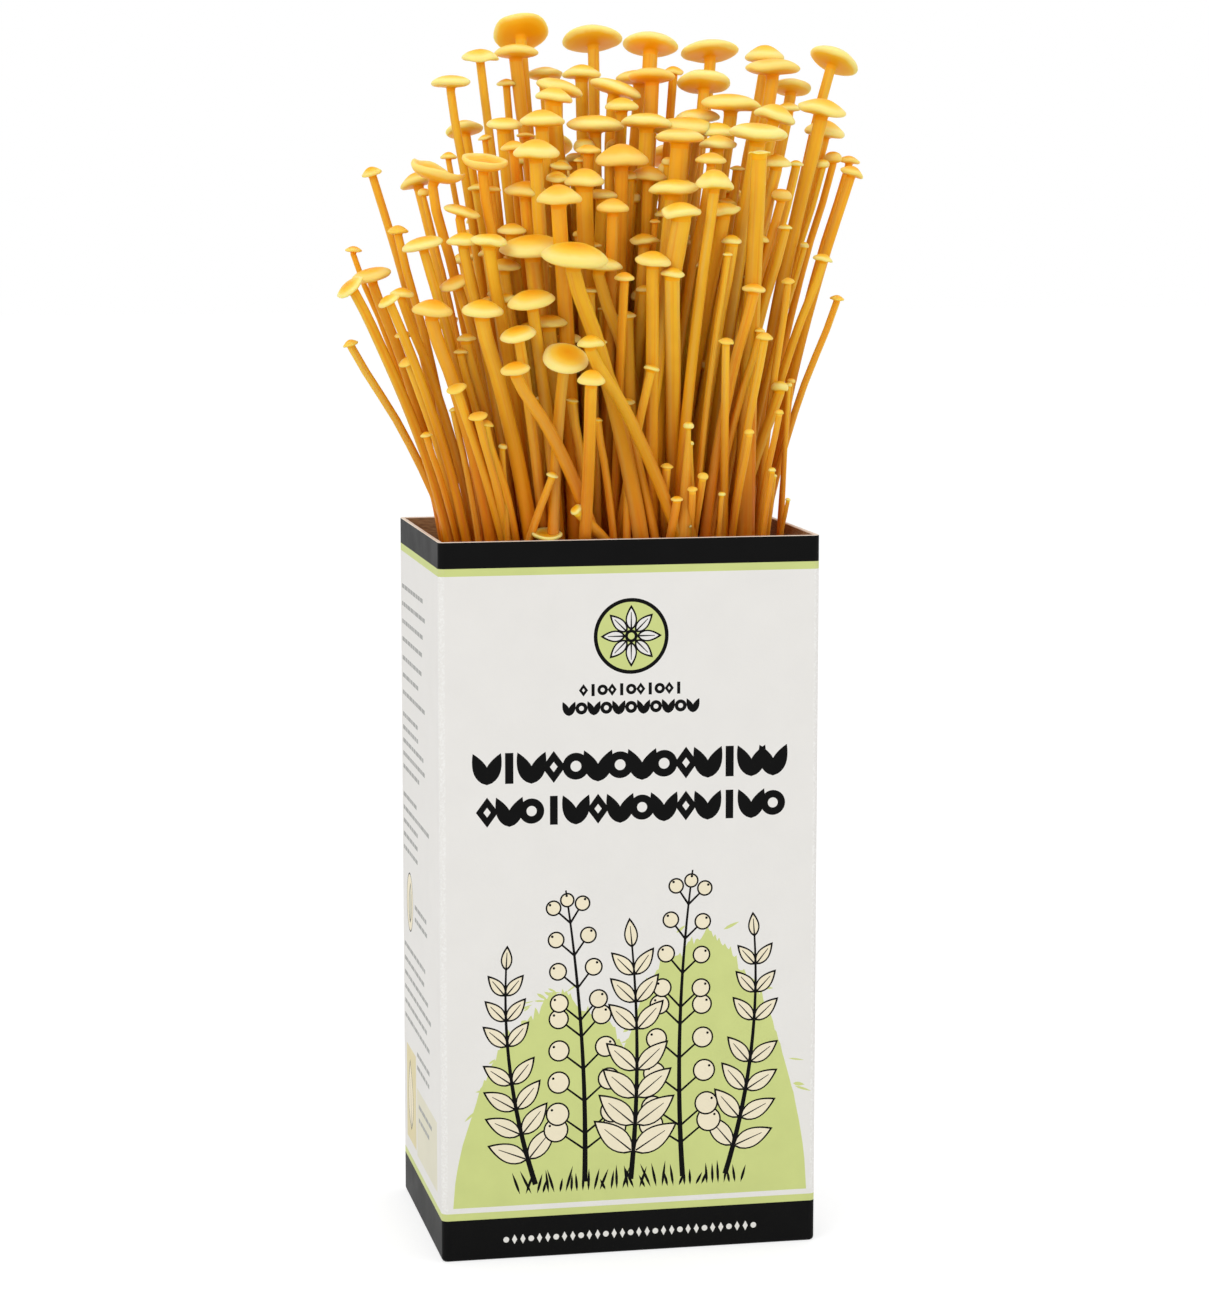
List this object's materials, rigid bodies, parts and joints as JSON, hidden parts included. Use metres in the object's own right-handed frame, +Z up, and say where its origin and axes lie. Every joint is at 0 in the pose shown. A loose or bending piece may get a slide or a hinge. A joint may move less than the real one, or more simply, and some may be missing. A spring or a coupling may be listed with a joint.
{
  "type": "enoki mushroom grow kit",
  "caption": "Upright folded carton holding a bagged block of growing medium, with a fanned clump of long-stemmed golden enoki mushrooms growing out of its open top.",
  "frame": {"origin": "middle of the carton's base, on the surface it stands on", "axes": "+Z up along the carton and the stems; the carton's wide printed front faces -Y; +X is to the right of someone who looks at that front"},
  "size_m": [0.1799, 0.1229, 0.3949],
  "materials": {
    "printed_board": "matt coated corrugated board",
    "clear_film": "clear film",
    "growing_medium": "damp pressed sawdust",
    "mushroom": "moist satin skin",
    "young_mushroom": "moist satin skin"
  },
  "bodies": {
    "root": {"carton": "printed_board", "grow_bag": "clear_film", "mushroom_01": "mushroom", "mushroom_02": "mushroom", "mushroom_03": "mushroom", "mushroom_04": "mushroom", "mushroom_05": "mushroom", "mushroom_06": "mushroom", "mushroom_07": "mushroom", "mushroom_08": "mushroom", "mushroom_09": "mushroom", "mushroom_10": "mushroom", "mushroom_11": "mushroom", "mushroom_12": "mushroom", "mushroom_13": "mushroom", "mushroom_14": "mushroom", "mushroom_15": "mushroom", "mushroom_16": "mushroom", "mushroom_17": "mushroom", "mushroom_18": "mushroom", "mushroom_19": "mushroom", "mushroom_20": "mushroom", "mushroom_21": "mushroom", "mushroom_22": "mushroom", "mushroom_23": "mushroom", "mushroom_24": "mushroom", "mushroom_25": "mushroom", "mushroom_26": "mushroom", "mushroom_27": "mushroom", "mushroom_28": "mushroom", "mushroom_29": "mushroom", "mushroom_30": "mushroom", "mushroom_31": "mushroom", "mushroom_32": "mushroom", "mushroom_33": "mushroom", "mushroom_34": "mushroom", "mushroom_35": "mushroom", "mushroom_36": "mushroom", "mushroom_37": "mushroom", "mushroom_38": "mushroom", "mushroom_39": "mushroom", "mushroom_40": "mushroom", "mushroom_41": "mushroom", "mushroom_42": "mushroom", "mushroom_43": "mushroom", "mushroom_44": "mushroom", "mushroom_45": "mushroom", "mushroom_46": "mushroom", "mushroom_47": "mushroom", "mushroom_48": "mushroom", "mushroom_49": "mushroom", "mushroom_50": "mushroom", "mushroom_51": "mushroom", "substrate_block": "growing_medium", "young_tuft_1": "young_mushroom", "young_tuft_2": "young_mushroom", "young_tuft_3": "young_mushroom", "young_tuft_4": "young_mushroom", "young_tuft_5": "young_mushroom"}
  },
  "joints": []
}
